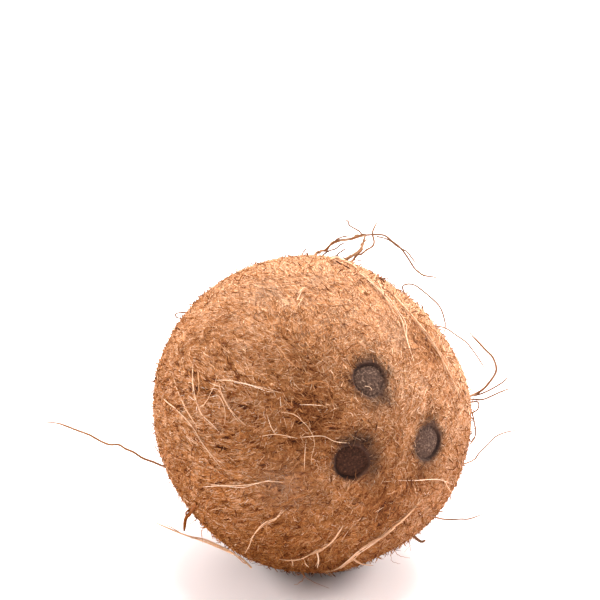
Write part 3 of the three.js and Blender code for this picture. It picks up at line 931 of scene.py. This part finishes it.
# Long fibres that the photograph shows, each a path right and up of the nut's middle as seen by the camera,
# with the radius at its root and tip, its shade from dark to pale, and how far it stands off the coat
longRule = {
    "tries": 5,  # how often a point of the view is moved nearer to the coat
    "kinks": 0.12, "copyKinks": 0.48,  # how far each point of a path is shaken
    "airGrey": 0.3,  # how grey those are that stand in the air
    "rooted": 1.5, "tuck": 0.5, "pointsEach": 3, "tipFrom": 0.85, "tipLoss": 0.5,
    "copyStart": 0.4, "copyEnd": 0.6, "copyThickness": 0.55, "copyShade": 0.1,
}
longFibres = [
    # The whisker at the left, those at the lower left and right, and a small curl at the upper left
    {"path": [(-48, -20), (-51, -19), (-55.5, -17.5), (-59, -15.8), (-62, -14), (-65, -12.5),
              (-67.5, -11.5), (-70.5, -11.3), (-73, -10.5), (-76, -9), (-78, -8), (-82, -6.5),
              (-86, -5), (-89, -4), (-94, -3.5)],
     "root": 0.46, "tip": 0.38, "shade": 0.3},
    {"path": [(-40.5, -32.5), (-42, -35), (-43.5, -37.3), (-44.2, -41.4)],
     "root": 0.8, "tip": 0.6, "shade": 0.28, "out": 0.9, "beside": 2},
    {"path": [(-20.5, -53.8), (-22.6, -52.1), (-25, -50.1), (-28.9, -48.1), (-36.8, -45),
              (-44.7, -42.2), (-50.2, -40.2), (-54.9, -37.9)],
     "root": 0.34, "tip": 0.28, "shade": 0.72, "out": 1.5, "beside": 3},
    {"path": [(37, -44), (38.5, -44.4), (40.3, -44)], "root": 0.6, "tip": 0.4, "shade": 0.12},
    {"path": [(-43.8, 35.8), (-47.4, 35), (-47.6, 33.6), (-45.7, 33.2)],
     "root": 0.3, "tip": 0.3, "shade": 0.2},
    # The tuft on top
    {"path": [(0.8, 54.9), (1.9, 56.3), (3.8, 57.0), (5.5, 57.7), (7.1, 59.1), (8.7, 60.7),
              (11.2, 61.3), (14.0, 61.7), (16.3, 62.6), (18.1, 63.0), (20.0, 63.1), (22.2, 63.3)],
     "root": 0.5, "tip": 0.38, "shade": 0.36, "beside": 2},
    {"path": [(8.4, 60.4), (9.3, 61.5), (10.6, 62.1), (12.5, 62.5), (14.7, 62.9)],
     "root": 0.34, "tip": 0.28, "shade": 0.3},
    {"path": [(18.1, 63.1), (20.0, 63.2), (22.2, 63.4), (25.1, 63.3), (27.1, 62.3), (29.0, 60.7),
              (30.8, 59.4), (32.3, 58.0), (33.7, 56.3), (34.8, 54.1), (36.7, 51.4), (38.3, 50.0),
              (40.2, 48.8), (43.4, 48.1), (45.2, 47.5)],
     "root": 0.38, "tip": 0.36, "shade": 0.28},
    {"path": [(23.2, 62.5), (26.3, 61.9), (28.9, 60.7), (31.1, 58.9), (33.9, 57.2), (35.8, 55.0),
              (37.4, 52.8)],
     "root": 0.3, "tip": 0.3, "shade": 0.26},
    {"path": [(3.6, 55.0), (4.1, 55.7), (6.5, 57.1), (8.7, 58.0), (10.6, 59.4), (12.8, 60.5)],
     "root": 0.32, "tip": 0.28, "shade": 0.2},
    {"path": [(9.2, 55.3), (9.6, 56.2), (11.2, 57.1), (12.0, 57.8), (12.5, 58.5)],
     "root": 0.32, "tip": 0.27, "shade": 0.2},
    {"path": [(10.9, 53.0), (11.8, 54.2), (13.7, 55.2), (15.6, 56.3), (16.9, 56.9), (17.8, 58.2),
              (18.5, 59.7), (19.2, 61.6), (19.5, 63.0)],
     "root": 0.7, "tip": 0.42, "shade": 0.6, "beside": 1},
    {"path": [(14.4, 54.7), (16.3, 56.0), (17.8, 56.3), (20.0, 57.7), (21.9, 59.1), (22.6, 60.4),
              (22.2, 61.9), (21.9, 63.8), (22.9, 66.4), (24.4, 68.4)],
     "root": 0.45, "tip": 0.32, "shade": 0.36},
    {"path": [(18.1, 63.4), (16.9, 64.6), (14.0, 66.2), (13.3, 67.9), (12.2, 68.4)],
     "root": 0.32, "tip": 0.28, "shade": 0.2},
    {"path": [(13.1, 53.4), (15.6, 53.9), (18.1, 53.7)], "root": 0.28, "tip": 0.24, "shade": 0.22},
    {"path": [(-3.3, 55.3), (-3.0, 56.3), (-1.9, 58.0), (-1.6, 58.5)],
     "root": 0.28, "tip": 0.25, "shade": 0.2},
    # The lip of husk below the tuft, with a dark strand under it as its painted shadow, and beside it a dark
    # strand as the painted shade in a slit, with a pale one along that
    {"path": [(7.0, 55.1), (9.6, 54.8), (12.2, 53.6), (14.7, 52.3), (16.3, 51.1)],
     "root": 0.6, "tip": 0.35, "shade": 0.66, "out": 0.3},
    # A dark strand as the painted shadow under the lip
    {"path": [(7.0, 54.6), (8.7, 54.0), (10.6, 52.7), (12.5, 51.6), (14.2, 51.1)],
     "root": 0.3, "tip": 0.2, "shade": 0, "out": 0.65},
    # A dark strand as the painted shade in a slit
    {"path": [(23.4, 48.2), (24.8, 47.3), (26.3, 46.1)],
     "root": 0.35, "tip": 0.15, "shade": 0, "out": 0.25},
    {"path": [(22.9, 48.4), (23.8, 46.8), (24.9, 44.6), (25.7, 41.8)],
     "root": 0.12, "tip": 0.1, "shade": 0.74, "out": 0.35},
    # The fine ones at the upper right
    {"path": [(32, 38), (32.8, 42.5), (32.5, 44.5), (34, 45.5), (36.7, 45), (40, 42.8), (43, 40.3),
              (45.5, 37.5), (46.8, 34), (47.5, 30), (46, 24)],
     "root": 0.32, "tip": 0.3, "shade": 0.2},
    {"path": [(43, 31), (47.5, 30), (51, 27.5), (55, 25), (57.5, 22), (59.5, 19), (63, 13)],
     "root": 0.3, "tip": 0.28, "shade": 0.22},
    # The big curl at the right, and those that start beside it
    {"path": [(51, 4), (57.5, 6.5), (60.3, 8.5), (63, 11), (65, 13.7), (65.6, 16), (64.3, 19.7),
              (61.5, 22.5), (58.5, 25.7), (56, 28.5)],
     "root": 0.5, "tip": 0.42, "shade": 0.3},
    {"path": [(50, 5.5), (57, 6.3), (60.5, 7), (64.5, 9), (68, 11.3), (70, 13)],
     "root": 0.36, "tip": 0.3, "shade": 0.22},
    {"path": [(50, 4.5), (57, 5), (60.5, 5), (64, 6), (67.5, 7.7), (71, 9)],
     "root": 0.36, "tip": 0.3, "shade": 0.22},
    {"path": [(52, 4), (56.5, 4), (58.5, 4), (59.3, 3), (58.5, 1.3), (57, 0), (57.5, -2.5), (58, -6.5),
              (57, -9.3), (54, -12.5)],
     "root": 0.34, "tip": 0.3, "shade": 0.22},
    {"path": [(51, -19), (57, -16.5), (59, -14), (62.5, -10.5), (65.5, -8), (69.5, -6.5),
              (73.5, -5.8)],
     "root": 0.3, "tip": 0.27, "shade": 0.24},
    {"path": [(41, -36), (47, -37), (52.5, -36.8), (56, -36.8), (61, -35)],
     "root": 0.34, "tip": 0.27, "shade": 0.22},
    # Pale ones that lie on the coat at the left
    {"path": [(-55.5, 8), (-51, 4), (-47.5, 1), (-44, -2.2), (-41, -5.5), (-38, -10.5), (-34.5, -15),
              (-31.5, -19)],
     "root": 0.2, "tip": 0.14, "shade": 0.76, "out": 0.4, "beside": 1},
    {"path": [(-49.6, 14.6), (-47.1, 8.5), (-44.7, 3.3), (-42, -1.5), (-39.9, -4.8)],
     "root": 0.2, "tip": 0.12, "shade": 0.72, "out": 0.4, "beside": 1},
    {"path": [(-42, 19.5), (-41.5, 12), (-40.5, 5.5), (-39.5, 1.7), (-38, -1), (-34.5, -4.3),
              (-31.5, -7.5)],
     "root": 0.18, "tip": 0.12, "shade": 0.78, "out": 0.45, "beside": 1},
    {"path": [(-33, 11.5), (-31.3, 6.5), (-28.5, 1.7), (-25.2, -2.4), (-22.5, -4.5)],
     "root": 0.16, "tip": 0.12, "shade": 0.7, "out": 0.4, "beside": 1},
    {"path": [(-34.6, 6.5), (-32.5, 5.7), (-30.5, 2.9), (-29.9, -0.8), (-30.3, -4.4)],
     "root": 0.15, "tip": 0.12, "shade": 0.7, "out": 0.4},
    {"path": [(-15.5, -0.8), (-13.9, -4.4), (-12.7, -7.3)],
     "root": 0.14, "tip": 0.1, "shade": 0.75, "out": 0.4},
    {"path": [(-20.8, -8.9), (-12.2, -7.7), (-4.6, -9.1)],
     "root": 0.14, "tip": 0.1, "shade": 0.75, "out": 0.4},
    {"path": [(-38, -25.3), (-31, -25.5), (-24, -25.5), (-19.5, -24.8), (-15, -24), (-9, -24)],
     "root": 0.17, "tip": 0.12, "shade": 0.76, "out": 0.4, "beside": 1},
    # Straws at the bottom
    {"path": [(-10, -34.5), (-12, -36.7), (-16, -38.5), (-19.5, -42.3), (-21.5, -46.2), (-23, -49)],
     "root": 0.22, "tip": 0.15, "shade": 0.74, "out": 0.5, "beside": 1},
    {"path": [(12, -39.5), (10, -42), (8, -44.5), (4.5, -47.3), (1, -48.8), (-3, -51), (-7, -51.5),
              (-11, -51)],
     "root": 0.32, "tip": 0.18, "shade": 0.7, "out": 0.6, "beside": 3},
    {"path": [(2.5, -49.3), (3, -51.3), (2.5, -54)],
     "root": 0.3, "tip": 0.15, "shade": 0.8, "out": 0.8, "beside": 1},
    {"path": [(-2.5, -51), (-1.5, -52.3), (-0.5, -53.5)],
     "root": 0.25, "tip": 0.15, "shade": 0.75, "out": 0.8},
    {"path": [(40, -30.5), (33, -36.5), (29.5, -39.5), (25.5, -43), (22, -45), (17.3, -48),
              (13.5, -51.5), (9, -54.3), (5.5, -55.3)],
     "root": 0.32, "tip": 0.2, "shade": 0.7, "out": 0.6, "beside": 6},
    {"path": [(13.5, -51), (17.5, -52.3), (22, -53)],
     "root": 0.25, "tip": 0.14, "shade": 0.7, "out": 0.8, "beside": 1},
    # Pale ones near the eyes and across the middle
    {"path": [(31.5, -24), (37.5, -23.5), (42, -23.2), (46, -23.4), (50.5, -25)],
     "root": 0.14, "tip": 0.1, "shade": 0.82, "out": 0.4},
    {"path": [(-4, -9), (0, -8.3), (4.5, -8.5), (9, -10.2), (14, -10.5)],
     "root": 0.12, "tip": 0.1, "shade": 0.78, "out": 0.35},
    {"path": [(-1.5, -9.5), (-2, -14.7), (-2, -20)],
     "root": 0.14, "tip": 0.1, "shade": 0.75, "out": 0.35},
    {"path": [(-4, 3), (0, 3), (4, 2.5)], "root": 0.14, "tip": 0.1, "shade": 0.8, "out": 0.35},
    {"path": [(-33, 11.8), (-27, 10.9), (-21.6, 9.8), (-15.5, 8.2), (-10, 6.8)],
     "root": 0.12, "tip": 0.09, "shade": 0.75, "out": 0.35, "beside": 3},
    {"path": [(19.6, 9.6), (20.8, 8.9), (21.8, 8)],
     "root": 0.1, "tip": 0.08, "shade": 0.75, "out": 0.3},
    # Along the seam at the upper right
    {"path": [(16, 50), (18.5, 48.5), (26, 41), (30, 36), (32.5, 32), (34, 25.5), (36.5, 18)],
     "root": 0.24, "tip": 0.16, "shade": 0.7, "out": 0.3, "beside": 3},
    {"path": [(22, 48), (30, 41), (36, 34), (42.5, 26), (46.5, 18.5), (49.5, 12), (53.5, 4)],
     "root": 0.25, "tip": 0.2, "shade": 0.68, "out": 0.3, "beside": 3},
]


# A point of the camera's view, set on the coat, or level with its edge where it passes it
def sketchPoint(right, up, out):
    eye = viewBack * view["distance"]
    ray = unit(viewRight * right + viewUp * up - eye)
    nearest = eye - ray * (eye @ ray)
    point = nearest
    for attempt in range(longRule["tries"]):
        radius = coatRadiusAt(point) + out
        point = nearest - ray * math.sqrt(max(0, radius ** 2 - nearest @ nearest))
    return point


# A loose fibre by rule, as a smooth path with its thickness and shade
def looseFibre(points, tone):
    points[0] = setLength(points[0], coatRadiusAt(points[0]) - loose["tuck"])
    path = smoothPath(points, loose["points"])
    path[1:] += tone.normal(0, loose["shake"], (loose["points"] - 1, 3))
    thick = loose["radius"] * tone.uniform(*loose["radiusShares"])
    shade = float(np.clip(tone.normal(*loose["shade"]), loose["shadeLeast"], 1))
    return path, thick * np.linspace(1, loose["tipShare"], loose["points"]), shade


# A long fibre, or a shorter and thinner copy that runs beside it
def longFibre(fibre, isCopy, tone):
    points = np.array([sketchPoint(x, y, fibre.get("out", 0)) for x, y in fibre["path"]])
    if np.linalg.norm(points[0]) < coatRadiusAt(points[0]) + longRule["rooted"]:
        points[0] = setLength(points[0], coatRadiusAt(points[0]) - longRule["tuck"])
    count = longRule["pointsEach"] * len(points)
    kinks = tone.normal(0, longRule["copyKinks" if isCopy else "kinks"], (len(points), 3))
    path = smoothPath(points + kinks, count)
    thick = np.linspace(fibre["root"], fibre["tip"], count)
    thick *= 1 - longRule["tipLoss"] * smooth(np.linspace(0, 1, count), longRule["tipFrom"], 1)
    if not isCopy:
        return path, thick, fibre["shade"]
    first = int(tone.uniform(0, longRule["copyStart"]) * count)
    last = int(tone.uniform(longRule["copyEnd"], 1) * count)
    shade = fibre["shade"] + tone.normal(0, longRule["copyShade"])
    return path[first:last], longRule["copyThickness"] * thick[first:last], shade


def loosePieces():
    made, greys = [], []
    random = makeRandom(loose["seed"])
    tone = np.random.default_rng(loose["toneSeed"])
    for index in range(loose["count"]):
        points = looseStrand(index, random)
        near = inEye(unit(points @ lie), loose["eyeGap"]).any()
        if near or (points[:, 2] < loose["floorGap"] - middleHeight).any():
            continue
        made.append(looseFibre(points, tone))
        greys.append(0)
    for fibre in longFibres:
        for copy in range(1 + fibre.get("beside", 0)):
            made.append(longFibre(fibre, copy > 0, tone))
            greys.append(0 if "out" in fibre else longRule["airGrey"])
    paths, radii, shades = zip(*made)
    values = {"shade": np.array(shades), "stainAndShade": np.zeros(len(made)), "grey": np.array(greys)}
    strandPiece("loose_fibres", [path @ lie for path in paths], radii, strandRule["looseSides"], values)
    print(len(longFibres), "long fibres are the photograph's")


loosePieces()

for section in sections.values():
    bpy.data.objects.remove(section)
